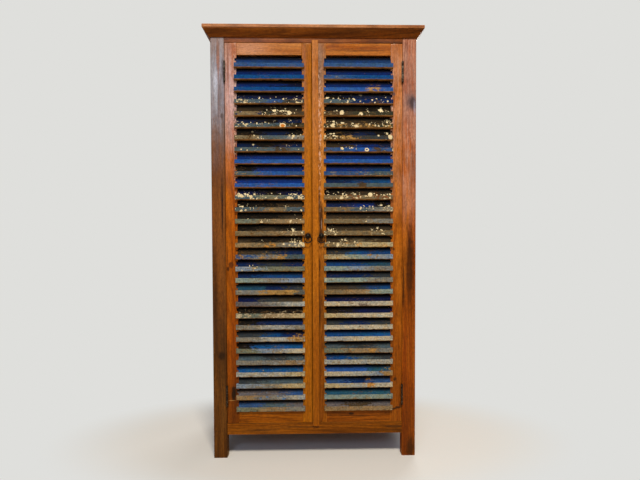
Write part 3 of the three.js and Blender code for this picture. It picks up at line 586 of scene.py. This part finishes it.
# One line a slat, from the top down: face, nose, colour of its patches, how much of them, and
# how many cream flakes. Each moves on from left to right. The amounts are runs of tenths, where
# x is ten tenths and a point half a tenth.
tenths = {".": 0.05, "x": 1, **{str(i): i / 10 for i in range(10)}}
slat_words = {
    "left": """
    cobalt denim grey 200013 0
    royal blue umber 003000 0
    royal-royal-navy blue sand 200001 0
    ink-navy-navy slate-denim-dusk dark 32123 8596121116
    umber-dark-umber drab-olive-umber ink 4155212 1200757950
    ink-dark-ink slate-slate-olive dark 33345 4815240351
    dark-ink-dark drab-slate-grey dark 53114 302x103163
    ink-dark-ink slate umber 113672 0241000311
    royal cobalt ochre 030002 0
    dark-royal-royal slate-cobalt-denim ochre 513001 0
    royal cobalt rust 413300 0
    navy-dark-navy slate-moss-slate ochre 112411 8x9932738x
    dark-dark-umber slate-drab-slate ochre 11355213 3421000512
    dark-dark-umber moss-drab-sand slate 251001 0012410051
    dark-umber-dark drab-drab-sand umber 343322 0000000352
    umber-dark-umber sand-drab-grey orange 01035111 002200029x
    umber-dusk-ink denim-grey-slate ochre 53465721 0
    ink-dusk-ink mist-moss-moss sand 142133 121000
    ink-blue-blue mint-grey-mist cream 001311 0
    teal-ink-dusk grey-ochre-ochre slate 111117 0
    navy-dusk-umber mauve-grey-stone drab 013101 0
    dark moss-sand-cream ivory 54554 00002000
    dark-ink-ink grey-stone-grey drab 43221 0
    dusk-blue-ink grey-stone-stone ochre 12000087 0
    dark-sea-sea moss-mist-ivory drab 312520 0
    slate-dusk-slate grey-grey-sand mist 122525 0
    sea stone-stone-cream cream 233323 0
    dusk-slate-slate mist-grey-cream sand 01122 0
    mauve-mauve-denim sand-grey-stone sky 01563631 0
    denim-slate-mauve moss-sand-grey ink 0320000 0""",
    "right": """
    cobalt denim grey .1100 0
    royal denim-blue-blue grey 3002 0
    royal cobalt ochre 10001861 0
    dark-ink-ink slate-ink-ink umber 211263 1336211113
    dark umber-olive-olive drab 43234 3530123051
    umber olive-umber-olive ochre 4646634 6474514229
    dark-ink-dark umber-dusk-dusk ochre 3665112 5920000019
    umber-royal-ink denim-cobalt-denim umber 4100264 0047400001
    royal cobalt blue 0 0
    royal-royal-blue denim-denim-slate grey 3323434 0
    ink-blue-sea slate umber 10129101 0
    dark-umber-umber drab rust 2365465 7284513367
    ink-royal-dark drab-slate-grey ochre 245111 00301365xx
    umber drab-drab-grey grey 343534 01000210
    umber drab sand 322332 8710000440
    umber-drab-umber drab-cream-cream orange 2335314 1181700000
    dusk-sea-blue cream-mint-mist ochre 55132632 0
    blue-blue-teal mint-mist-grey drab 1144124 0
    ink-ink-dusk mint-mint-grey stone 31122 0
    umber-dusk-blue drab-sand-mint sand 342331 0
    navy ivory mauve 1245531 0
    dark-navy-navy cream-ivory-ivory drab 33112 0
    dusk-ink-dusk ivory ochre 1116113 0
    blue-blue-sea stone-ivory-ivory sand 020002 0
    slate-dusk-slate moss-sand-grey ochre 32312642 0
    blue-slate-dusk stone moss 42332 0
    cobalt-cobalt-teal ivory-stone-mist ochre 2100019 0
    denim-ink-denim cream-stone-ivory orange 00002900 0
    teal mint sand 01163413 0
    mauve-umber-mauve sand stone 22123 0""",
}

# Flaking enamel on old softwood slats: a film with a slight gloss, cracked off in islands.
# The scales of its patterns are to the metre, for sizes of 4, 2, 5, 5, 8, 13, 29 and 4 mm.
grit, brush_lines, wear, cracks, specks_scale, blot_scale, smear_scale, crumble = (
    260, 420, 200, 190, 130, 75, 34, 240)
flake_sizes = ((5 * mm, 0.22), (8 * mm, 0.34), (13 * mm, 0.38), (21 * mm, 0.3))
paint_finish, shader, add, place = start_finish("flaking_enamel_on_slats")
girth = add("Attribute.girth")["Fac"]
share = add("Attribute.share")["Fac"]
amounts = add("Attribute.amounts")["Vector"]
# The third amount is a row's painted shade on the sloping face. The lower, lighter rows are also
# the older ones.
patched, flaked, face_shade_of_row = add("SeparateXYZ", {0: amounts})
fine = add("TexNoise", {0: place, "Scale": grit, "Detail": 5, "Roughness": 0.65})[0]
grainwise = add("Mapping", {0: place, "Scale": (0.07, 1, 1)})[0]
brushed = add("TexNoise", {0: grainwise, "Scale": brush_lines, "Detail": 4})[0]
drawn = add("Mapping", {0: place, "Scale": (0.3, 1, 1)})[0]
worn = add("TexNoise", {0: drawn, "Scale": wear, "Detail": 6, "Roughness": 0.66})[0]
smeared = add("TexNoise", {0: drawn, "Scale": smear_scale, "Detail": 7, "Roughness": 0.68})[0]
# One coat gives way to the next along the slat with a ragged end.
torn = add("Math.MULTIPLY_ADD", {0: smeared, 1: 1.1, 2: share})[0]
torn = add("Math.MULTIPLY_ADD", {0: worn, 1: 1.2, 2: torn})[0]
to_middle = add("MapRange", {0: torn, 1: 1.45, 2: 1.52})[0]
to_right = add("MapRange", {0: torn, 1: 1.79, 2: 1.86})[0]
coats = []
spans = ("left", "middle", "right")
for side in ("face", "nose"):
    first, second, third = (add(f"Attribute.{side}_{at}")["Color"] for at in spans)
    coat = add("Mix.RGBA", {0: to_middle, 6: first, 7: second})[2]
    coats.append(add("Mix.RGBA", {0: to_right, 6: coat, 7: third})[2])
# The nose's paint stops at its crisp upper arris, within a millimetre.
edge = add("Math.MULTIPLY_ADD", {0: fine, 1: 1.2 * mm, 2: girth})[0]
on_nose = add("MapRange", {0: edge, 1: nose_top + mm, 2: nose_top - 0.2 * mm})[0]
paint = add("Mix.RGBA", {0: on_nose, 6: coats[0], 7: coats[1]})[2]
# Blots of the second colour: more of the noise passes where the amount is larger.
blotchy = add("Mapping", {0: place, "Scale": (0.6, 1, 1)})[0]
blots = add("TexNoise", {0: blotchy, "Scale": blot_scale, "Detail": 7, "Roughness": 0.72})[0]
second_paint = add("Attribute.second_paint")["Color"]
fewer = add("MapRange", {0: on_nose, 3: 0.6, 4: 1.0})[0]
patched = add("Math.MULTIPLY", {0: patched, 1: fewer})[0]
pass_level = add("MapRange", {0: patched, 3: 0.72, 4: 0.32})[0]
above = add("Math.SUBTRACT", {0: blots, 1: pass_level})[0]
island = add("MapRange", {0: above, 1: -0.01, 2: 0.03, 4: 0.92})[0]
paint = add("Mix.RGBA", {0: island, 6: paint, 7: second_paint})[2]
# Where a slat is patchy, its paint is also rubbed through along the grain, to brown wood.
rubbed = add("MapRange", {0: worn, 1: 0.54, 2: 0.64, 4: 0.8})[0]
often = add("MapRange", {0: patched, 1: 0.05, 2: 0.3})[0]
rubbed = add("Math.MULTIPLY", {0: rubbed, 1: often})[0]
paint = add("Mix.RGBA", {0: rubbed, 6: paint, 7: "#7c5c34"})[2]
# Thin glazes tint it warmer and cooler. The sloping faces get painted shade, darker than the noses
# and darkest on the upper slats.
glaze = add("ValToRGB", {0: blots, "stops": [(0.38, "#cfe2ff"), (0.62, "#fff0d6")]})[0]
paint = add("Mix.RGBA", {6: paint, 7: glaze, "blend_type": "MULTIPLY", "Factor": 0.8})[2]
# Painted shade: the sloping face is scaled darker than the nose, by its row's amount.
nose_or_face_shade = add("MapRange", {0: on_nose, 3: face_shade_of_row, 4: 1.0})[0]
paint = add("VectorMath.SCALE", {0: paint, "Scale": nose_or_face_shade})[0]
# Brush marks, mottle and upright cracks in the old noses. Towards the slat above, the sloping face
# darkens with painted shade and some grime.
shade = add("MapRange", {0: brushed, 1: 0.28, 2: 0.72, 3: 0.7, 4: 1.3})[0]
specks = add("TexNoise", {0: place, "Scale": specks_scale, "Detail": 6, "Roughness": 0.75})[0]
mottle = add("MapRange", {0: specks, 1: 0.32, 2: 0.68, 3: 0.6, 4: 1.36})[0]
shade = add("Math.MULTIPLY", {0: shade, 1: mottle})[0]
upright = add("Mapping", {0: place, "Scale": (1, 1, 0.38)})[0]
crazed = add("TexNoise", {0: upright, "Scale": cracks, "Detail": 4, "Roughness": 0.6})[0]
old = add("MapRange", {0: face_shade_of_row, 1: 0.54, 2: 0.62})[0]
cracked = add("Math.MULTIPLY", {0: on_nose, 1: old})[0]
split = add("MapRange", {0: crazed, 1: 0.53, 2: 0.68, 4: 0.52})[0]
split = add("Math.MULTIPLY", {0: split, 1: cracked})[0]
shade = add("Math.MULTIPLY_ADD", {0: split, 1: -1.0, 2: shade})[0]
shade = add("Math.MAXIMUM", {0: shade, 1: 0.2})[0]
# Painted shade with some grime: near black under the nose of the slat above.
shade_reach = add("Math.MULTIPLY_ADD", {0: smeared, 1: 9 * mm, 2: girth})[0]
grime_and_shade = add("MapRange.SMOOTHSTEP", {0: shade_reach, 1: 35 * mm, 2: 49 * mm, 3: 1.0, 4: 0.08})[0]
paint = add("VectorMath.SCALE", {0: paint, "Scale": shade})[0]
# Cream undercoat shows where flakes have come away, large and small, in clusters.
ragged = add("TexNoise", {0: place, "Scale": crumble, "Detail": 4})[1]
bent = add("VectorMath.MULTIPLY_ADD", {0: ragged, 1: (11 * mm, 7 * mm, 7 * mm), 2: place})[0]
cluster = add("MapRange", {0: smeared, 1: 0.36, 2: 0.6, 3: 0.3, 4: 1.6})[0]
flaked = add("Math.MULTIPLY", {0: flaked, 1: cluster})[0]
# Painted shade: fewer pale flakes show high on the sloping face, in the shade of the slat above.
fewer_flakes_in_shade = add("MapRange", {0: girth, 1: 25 * mm, 2: 34 * mm, 3: 1.0, 4: 0.25})[0]
flaked = add("Math.MULTIPLY", {0: flaked, 1: fewer_flakes_in_shade})[0]
flake = 0.0
for size, most in flake_sizes:
    cells = add("TexVoronoi", {0: bent, "Scale": 1 / size})
    lot = add("SeparateColor", {0: cells["Color"]})
    chance = add("Math.MULTIPLY", {0: flaked, 1: most})[0]
    chosen = add("Math.LESS_THAN", {0: lot[0], 1: chance})[0]
    rim = add("MapRange", {0: lot[1], 3: 0.2, 4: 0.55})[0]
    within = add("Math.LESS_THAN", {0: cells["Distance"], 1: rim})[0]
    here = add("Math.MULTIPLY", {0: chosen, 1: within})[0]
    flake = add("Math.MAXIMUM", {0: flake, 1: here})[0]
undercoat = add("ValToRGB",
                {0: fine, "stops": [(0.34, "#f0e8ca"), (0.58, "#dccb9e"), (0.72, "#a08058")]})[0]
paint = add("Mix.RGBA", {0: flake, 6: paint, 7: undercoat})[2]
# The two largest: one gone down to the orange primer, one a ring of cream round the blue.
for x, z, inner, outer, core in ((-0.1307, 1.4745, 6.5 * mm, 11 * mm, "#cc8034"),
                                 (0.2368, 1.3705, 2.6 * mm, 8 * mm, "#123a8c")):
    spot = add("VectorMath.SUBTRACT", {0: bent, 1: (x, 0, z)})[0]
    flat = add("VectorMath.MULTIPLY", {0: spot, 1: (0.75, 0, 1)})[0]
    off = add("VectorMath.LENGTH", {0: flat})["Value"]
    chip = add("MapRange", {0: off, 1: outer, 2: outer - 0.8 * mm})[0]
    hole = add("MapRange", {0: off, 1: inner + mm, 2: inner})[0]
    paint = add("Mix.RGBA", {0: chip, 6: paint, 7: "#eadfbc"})[2]
    paint = add("Mix.RGBA", {0: hole, 6: paint, 7: core})[2]
# The painted shade and grime under the slat above darken the flakes as well.
paint = add("VectorMath.SCALE", {0: paint, "Scale": grime_and_shade})[0]
# Bare wood on the lower arris and underside, and in pits that go through every coat.
wood = add("ValToRGB",
           {0: brushed, "stops": [(0.3, "#4a2e14"), (0.55, "#8a6236"), (0.75, "#a98350")]})[0]
low_edge = add("Math.MULTIPLY_ADD", {0: worn, 1: 7 * mm, 2: girth})[0]
lifted = add("Math.MULTIPLY_ADD", {0: old, 1: 4.6 * mm, 2: low_edge})[0]
arris_bare = add("MapRange", {0: lifted, 1: 9.6 * mm, 2: 8.2 * mm})[0]
pits = add("MapRange", {0: fine, 1: 0.66, 2: 0.7})[0]
bare = add("Math.MAXIMUM", {0: arris_bare, 1: pits})[0]
colour = add("Mix.RGBA", {0: bare, 6: paint, 7: wood})[2]
film = add("Math.MAXIMUM", {0: bare, 1: flake})[0]
dull = add("MapRange", {0: film, 3: 0.58, 4: 0.82})[0]
high = add("Math.MULTIPLY_ADD", {0: film, 1: -0.8, 2: brushed})[0]
high = add("Math.MULTIPLY_ADD", {0: island, 1: 0.35, 2: high})[0]
relief = add("Bump", {"Strength": 0.8, "Distance": 0.5 * mm, "Height": high})[0]
put(shader, {"Base Color": colour, "Roughness": dull, "Normal": relief,
             "Specular IOR Level": 0.03})


def slat_blank(low_x, high_x):
    """A straight slat, its lower edge at height 0, with the horns of its nose and its tongues."""
    bm = bmesh.new()
    girths = bm.verts.layers.float.new("girth")
    corners = [bm.verts.new((low_x, door_front + y * mm, z * mm)) for y, z, _ in section]
    for corner, (_, _, girth) in zip(corners, section):
        corner[girths] = girth * mm
    sides = [bm.edges.new(pair) for pair in zip(corners, corners[1:] + corners[:1])]
    for i, cuts in enumerate(section_cuts):
        made = bmesh.ops.subdivide_edges(bm, edges=[sides[i]], cuts=cuts)["geom_inner"]
        if i == back_edge:
            for vert in made:
                if isinstance(vert, bmesh.types.BMVert):
                    vert[girths] = back_girth * mm
    ring = bm.edges[:]
    steps = round((high_x - low_x) / slat_step)
    for _ in range(steps):
        made = bmesh.ops.extrude_edge_only(bm, edges=ring)["geom"]
        fresh = {v for v in made if isinstance(v, bmesh.types.BMVert)}
        ring = [e for e in made if isinstance(e, bmesh.types.BMEdge) and set(e.verts) <= fresh]
        bmesh.ops.translate(bm, verts=list(fresh), vec=((high_x - low_x) / steps, 0, 0))
    bmesh.ops.holes_fill(bm, edges=[e for e in bm.edges if e.is_boundary], sides=0)
    bmesh.ops.recalc_face_normals(bm, faces=bm.faces)
    # Each end is cut where it meets the stile's face, then drawn out in front of it and into it.
    for end_x, way in ((low_x, -1), (high_x, 1)):
        for at, square_to in (((0, door_front - stile_clearance, 0), (0, 1, 0)),
                              ((0, door_front + stile_clearance, 0), (0, 1, 0)),
                              ((0, 0, nose_top + 0.02 * mm), (0, 0, 1))):
            ends = [f for f in bm.faces if abs(f.calc_center_median().x - end_x) < 1e-5
                    and (square_to[1] or f.calc_center_median().y < door_front - stile_clearance)]
            parts = list({g for f in ends for g in (f, *f.edges, *f.verts)})
            bmesh.ops.bisect_plane(bm, geom=parts, dist=1e-6, plane_co=at, plane_no=square_to)
        for face in [f for f in bm.faces if abs(f.calc_center_median().x - end_x) < 1e-5]:
            middle = face.calc_center_median()
            if middle.y > door_front + stile_clearance:
                length = tongue
            elif middle.y < door_front - stile_clearance and middle.z < nose_top:
                length = horn
            else:
                continue
            made = bmesh.ops.extrude_face_region(bm, geom=[face])["geom"]
            bmesh.ops.translate(bm, verts=[v for v in made if isinstance(v, bmesh.types.BMVert)],
                                vec=(way * length, 0, 0))
            bmesh.ops.delete(bm, geom=[face], context="FACES_ONLY")
    return bm


def amount_at(run, share):
    """The amount at a share of the length, from a run of tenths, evened out between them."""
    values = [tenths[digit] for digit in run]
    spot = max(0, min(len(values) - 1, share * len(values) - 0.5))
    first = int(spot)
    last = min(first + 1, len(values) - 1)
    return values[first] + (values[last] - values[first]) * (spot - first)


def thirds(words):
    """The coats of the left, middle and right third of a slat, from one to three words."""
    words = words.split("-")
    return [paints[words[min(i, len(words) - 1)]] for i in range(3)]


# Painted shade on the slopes: the upper slats' slopes are painted darker than those of the lower
# ones.
shade_on_top_faces, shade_on_bottom_faces = 0.32, 0.95
coat_names = [f"{side}_{at}" for side in ("face", "nose") for at in spans]
for hand in hands:
    blank = slat_blank(*opening[hand])
    start, end = opening[hand]
    lines = [line.split() for line in slat_words[hand].strip().splitlines()]
    for row, (face, nose, second, patches, flakes) in enumerate(lines):
        chance = random.Random(f"{hand} slat {row}")
        slip = chance.uniform(-0.8, 0.8) * slat_slip
        base = lowest_slat + (slat_count - 1 - row) * slat_pitch + slip
        lean = chance.uniform(-1, 1) * slat_slip / lean_reach
        row_face_shade = shade_on_top_faces + (shade_on_bottom_faces - shade_on_top_faces) * row / slat_count
        bm = blank.copy()
        shares = bm.verts.layers.float.new("share")
        measure = bm.verts.layers.float_vector.new("amounts")
        girths = bm.verts.layers.float["girth"]
        coats = thirds(face) + thirds(nose) + [paints[second]]
        for name, colour in zip(coat_names + ["second_paint"], coats):
            layer = bm.verts.layers.float_color.new(name)
            for vert in bm.verts:
                vert[layer] = colour
        for vert in bm.verts:
            share = (vert.co.x - start) / (end - start)
            vert[shares] = share
            vert[measure] = (amount_at(patches, share), amount_at(flakes, share), row_face_shade)
            spot = Vector((vert.co.x, row * 3.1 + (hand == "left"), vert.co.z * 0.4))
            if vert.co.y < door_front + mm:
                waves = noise.noise(spot * long_waves) + 0.5 * noise.noise(spot * short_waves)
                vert.co.y += nose_waver * waves
                if vert[girths] < bitten_girth:
                    bite = noise.noise(spot * bite_waves + Vector((5, 0, 0))) - bite_level
                    vert.co.z += arris_bite * max(0, bite)
            vert.co.z += base + lean * (vert.co.x - (start + end) / 2)
        name = f"{hand}_slat_{row + 1:02d}"
        piece_from(bm, name, paint_finish, hand + "_door", hand + "_door_louvres")
    blank.free()

# Butt hinges. Old pressed steel butts let into the edges of post and door, with five knuckles
# round a pin. The upper right one is rubbed bright.
hinge_x, hinge_y = 389.2 * mm, -215.1 * mm
knuckle_count, knuckle_radius, knuckle_gap = 5, 4.8 * mm, 0.5 * mm
leaf_thickness, leaf_depth, leaf_set = 1.8 * mm, 24 * mm, 0.2 * mm
leaf_parting = 0.3 * mm
screw_count, screw_radius = 4, 3.2 * mm
pin_radius, tip_radius, tip_length = 2 * mm, 3.4 * mm, 2.2 * mm
grit_size = 0.9 * mm


def old_metal(name, bright, dark, rust, spot_size, roughness, metallic):
    """Aged metal: worn bright in places, dark with wax and rust elsewhere."""
    made, shader, add, place = start_finish(name)
    spots = add("TexNoise", {0: place, "Scale": 1 / spot_size, "Detail": 6, "Roughness": 0.65})[0]
    grit = add("TexNoise", {0: place, "Scale": 1 / grit_size, "Detail": 3})[0]
    tone = add("ValToRGB", {0: spots, "stops": [(0.36, dark), (0.52, rust), (0.68, bright)]})[0]
    rough = add("MapRange", {0: spots, 1: 0.3, 2: 0.7, 3: roughness + 0.12, 4: roughness - 0.1})[0]
    pitted = add("Math.ADD", {0: spots, 1: grit})[0]
    relief = add("Bump", {"Strength": 0.5, "Distance": 0.25 * mm, "Height": pitted})[0]
    put(shader, {"Base Color": tone, "Roughness": rough, "Normal": relief, "Metallic": metallic})
    return made


hinge_finish = old_metal("old_steel_hinges", "#6f6a63", "#262220", "#43362c", 9 * mm, 0.5, 0.75)
bright_finish = old_metal("rubbed_steel_hinge", "#9a948a", "#4a4640", "#6b645a", 9 * mm, 0.45, 0.8)


def cylinder(bm, radius, centre, length, axis="Z", segments=28, rim=0.5 * mm):
    """Adds a cylinder with rounded rims along the Z or X axis to a bmesh."""
    turn = Matrix.Rotation(math.pi / 2, 4, "Y") if axis == "X" else Matrix()
    made = bmesh.ops.create_cone(bm, cap_ends=True, segments=segments, radius1=radius,
                                 radius2=radius, depth=length,
                                 matrix=Matrix.Translation(centre) @ turn)["verts"]
    round_off(bm, [e for e in {e for v in made for e in v.link_edges}
                   if any(len(f.verts) > 4 for f in e.link_faces)], rim, 2)


def hinge_leaf(name, side, inner, outer, low_z, high_z, first, finish, body, replaced):
    """One leaf: a plate with screws, and every second knuckle from the first."""
    x0, x1 = sorted((side * inner, side * outer))
    bm = board(Vector((x0, door_front + leaf_set, low_z)),
               Vector((x1, door_front + leaf_depth, high_z)), 0.25 * mm, 1)
    pitch = (high_z - low_z) / knuckle_count
    length = pitch - knuckle_gap
    for i in range(first, knuckle_count, 2):
        z = low_z + (i + 0.5) * pitch
        cylinder(bm, knuckle_radius, Vector((side * hinge_x, hinge_y, z)), length, rim=0.15 * mm)
        block(bm, Vector((x0, hinge_y, z - length / 2)),
              Vector((x1, door_front + 2 * leaf_set, z + length / 2)))
    for i in range(screw_count):
        at = Vector((side * inner, door_front + (8 if i % 2 else 16) * mm,
                     low_z + (12 + 22 * i) * mm))
        cylinder(bm, screw_radius, at, 0.2 * mm, "X", 18, 0.05 * mm)
    piece_from(bm, name, finish, body, replaced)


for hand, side in (("left", -1), ("right", 1)):
    for place in ("lower", "upper"):
        node, name = f"{hand}_door_{place}_hinge_", f"{hand}_{place}_hinge_"
        moving_finish = bright_finish if (hand, place) == ("right", "upper") else hinge_finish
        low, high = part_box(node + "post_leaf")
        for leaf, way, first, finish, body, part in (
                ("fixed_leaf", 1, 0, hinge_finish, "carcass", "post_leaf"),
                ("moving_leaf", -1, 1, moving_finish, hand + "_door", "door_leaf")):
            inner = hinge_x + way * leaf_parting / 2
            hinge_leaf(name + leaf, side, inner, inner + way * leaf_thickness, low.z, high.z,
                       first, finish, body, node + part)
        low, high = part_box(node + "pin")
        middle = (low + high) / 2
        middle.y = hinge_y
        pin = bmesh.new()
        cylinder(pin, pin_radius, middle, high.z - low.z - mm)
        for tip in (low.z + tip_length / 2, high.z - tip_length / 2):
            cylinder(pin, tip_radius, Vector((middle.x, hinge_y, tip)), tip_length, rim=0.9 * mm)
        piece_from(pin, name + "pin", hinge_finish, "carcass", node + "pin")

# Ring pulls. Black iron: a domed rose with a ball on its neck, and a loose ring through the
# ball. A spike holds the rose in the stile.
iron_finish = old_metal("black_iron_pulls", "#3f3d39", "#0e0d0c", "#1e1814", 7 * mm, 0.42, 0.6)
# Radius and depth of the rose's outline, in mm, from the spike's tip to the ball's neck.
rose_profile = [(0, 22), (2.5, 22), (2.5, -0.2), (11.5, -0.2), (11.5, -1.4), (10.9, -2.2),
                (9.9, -2.5), (9.4, -2.3), (8.9, -3.0), (7.8, -4.7), (6.6, -5.9), (5.7, -6.5),
                (5.2, -7.4), (4.9, -9.0), (5.0, -10.2)]
neck_radius, ball_radius, ball_reach = 5 * mm, 8 * mm, 16.5 * mm
ring_radius, wire_radius = 16 * mm, 2 * mm
ball_steps = 12


def spin_round(bm, geom, steps, centre):
    """Spins an outline fully round the Y axis, and moves it to its place."""
    bmesh.ops.spin(bm, geom=geom, cent=(0, 0, 0), axis=(0, 1, 0), angle=2 * math.pi, steps=steps,
                   use_merge=True)
    bmesh.ops.remove_doubles(bm, verts=bm.verts, dist=1e-6)
    bmesh.ops.translate(bm, vec=centre, verts=bm.verts)


for hand in hands:
    low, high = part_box(hand + "_door_pull_rose")
    profile = [(r * mm, y * mm) for r, y in rose_profile]
    start = math.asin(neck_radius / ball_radius)
    for i in range(ball_steps + 1):
        angle = start + (math.pi - start) * i / ball_steps
        profile.append((ball_radius * math.sin(angle), ball_radius * math.cos(angle) - ball_reach))
    rose = bmesh.new()
    line = [rose.verts.new((r, y, 0)) for r, y in profile]
    edges = [rose.edges.new(pair) for pair in zip(line, line[1:])]
    centre = (low + high) / 2
    centre.y = door_front
    spin_round(rose, line + edges, 40, centre)
    piece_from(rose, hand + "_pull_rose_and_ball", iron_finish, hand + "_door",
               hand + "_door_pull_rose")

    low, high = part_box(hand + "_door_pull_ring")
    ring = bmesh.new()
    bmesh.ops.create_circle(ring, segments=16, radius=wire_radius,
                            matrix=Matrix.Translation((ring_radius, 0, 0)))
    spin_round(ring, ring.verts[:] + ring.edges[:], 56, (low + high) / 2)
    piece_from(ring, hand + "_pull_ring", iron_finish, hand + "_ring",
               hand + "_door_pull_ring")
